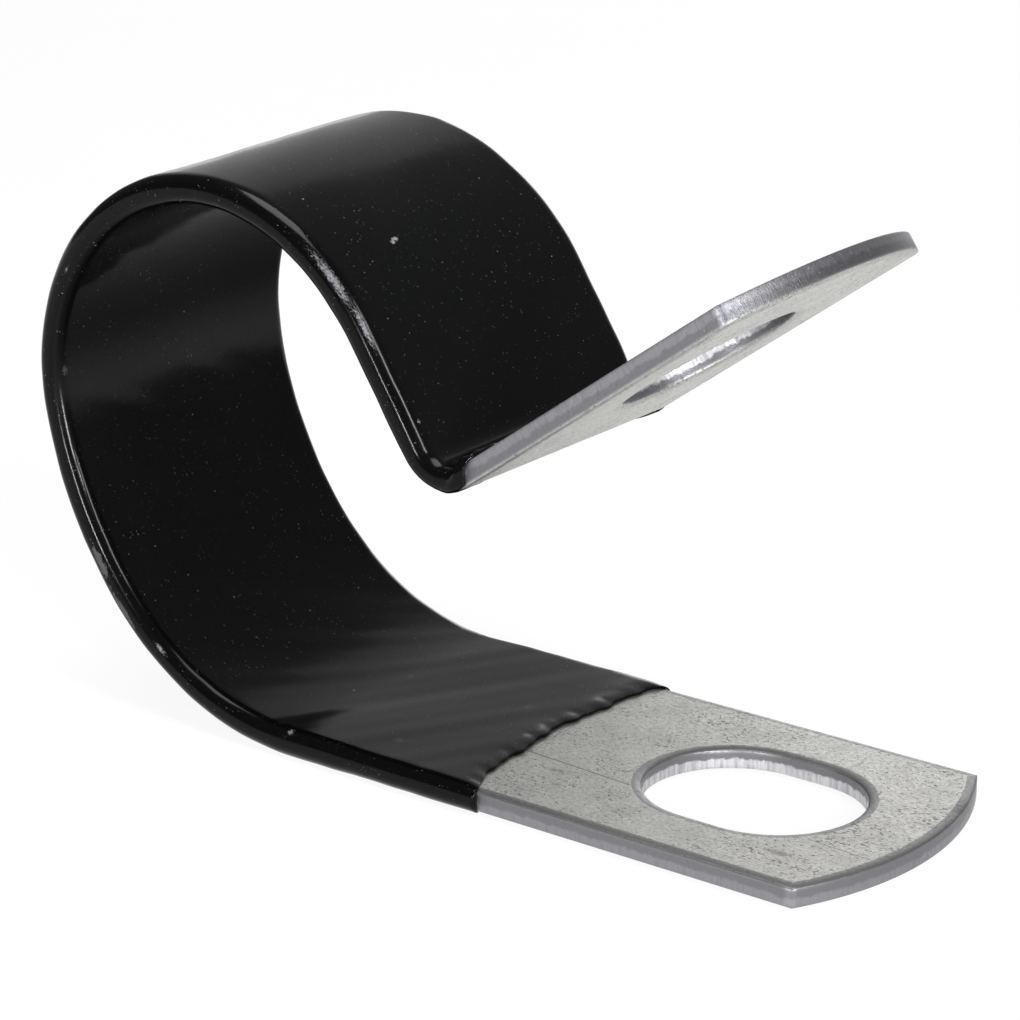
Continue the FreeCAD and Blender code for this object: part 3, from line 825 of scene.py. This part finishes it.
# the studio: lamps as (name, place in mm, size in mm, power in W), all aimed at the loop
studio = {
    "floorHalf": 4.0,  # half the floor's width, in metres
    "floorColor": (0.86, 0.86, 0.86, 1),
    "floorRoughness": 0.9,
    "floorGlow": 0.85,  # the glow's share of the floor, for the rays that see it white
    "glow": 1.06,
    "world": 0.10,
    "lampsAim": (-18, 0, 15),
    "lamps": [
        ("topLamp", (-60, -20, 380), (200, 200), 0.7),
        ("widePanel", (-20, 480, 330), (1400, 760), 0.42),
        ("backPanel", (-260, 465, 190), (700, 380), 0.25),
        ("backLamp", (-190, 405, 105), (170, 150), 0.24),
        ("cameraLamp", (205, -150, 52), (10, 90), 0.50),
        ("frontLamp", (20, -280, 30), (10, 110), 0.55),
        ("rightLamp", (215, -60, 170), (34, 160), 0.40),
    ],
}


def makeFloor():
    # a pale square under the object's lowest point; camera, glossy and transmission rays see it
    # mixed with a white glow, so that it stays white there and still keeps the object's shadow
    low, half = cadBox[0][2], studio["floorHalf"]
    mesh = bpy.data.meshes.new("floor")
    corners = [(-half, -half, low), (half, -half, low), (half, half, low), (-half, half, low)]
    mesh.from_pydata(corners, [], [(0, 1, 2, 3)])
    floor = bpy.data.objects.new("floor", mesh)
    bpy.context.scene.collection.objects.link(floor)
    finish = Finish("paleFloor")
    finish.put(finish.shader.inputs["Base Color"], studio["floorColor"])
    finish.put(finish.shader.inputs["Roughness"], studio["floorRoughness"])
    seen = finish.add("LightPath", []).node
    rays = [seen.outputs[f"Is {kind} Ray"] for kind in ("Camera", "Glossy", "Transmission")]
    share = finish.calc("MULTIPLY", finish.most(rays), studio["floorGlow"])
    glow = finish.add("Emission", [("Strength", studio["glow"])])
    mix = finish.add("MixShader", [(0, share), (1, finish.shader.outputs[0]), (2, glow)])
    finish.put(finish.tree.nodes["Material Output"].inputs["Surface"], mix)
    mesh.materials.append(finish.material)


def makeLamps():
    # rectangles of light, each turned so that its normal runs from its place to the lamps' aim
    aim = Vector(studio["lampsAim"])
    for name, place, (wide, tall), power in studio["lamps"]:
        data = bpy.data.lights.new(name, "AREA")
        data.shape = "RECTANGLE"
        data.size, data.size_y = wide * mm, tall * mm
        data.energy = power
        lamp = bpy.data.objects.new(name, data)
        lamp.location = Vector(place) * mm
        lamp.rotation_euler = (aim - Vector(place)).to_track_quat("-Z", "Y").to_euler()
        bpy.context.scene.collection.objects.link(lamp)


def makeWorld():
    # a weak even white light from all round
    world = bpy.data.worlds.new("studio")
    world.use_nodes = True
    world.node_tree.nodes["Background"].inputs["Color"].default_value = (1, 1, 1, 1)
    world.node_tree.nodes["Background"].inputs["Strength"].default_value = studio["world"]
    bpy.context.scene.world = world


bpy.context.scene.view_settings.view_transform = "Standard"
makeCamera()
makeFloor()
makeLamps()
makeWorld()
print("camera and studio stand")

makeStrap().data.materials.append(makeSteel())
print("strap is finished")
makeCoat().data.materials.append(makeVinyl())
print("coat is finished")
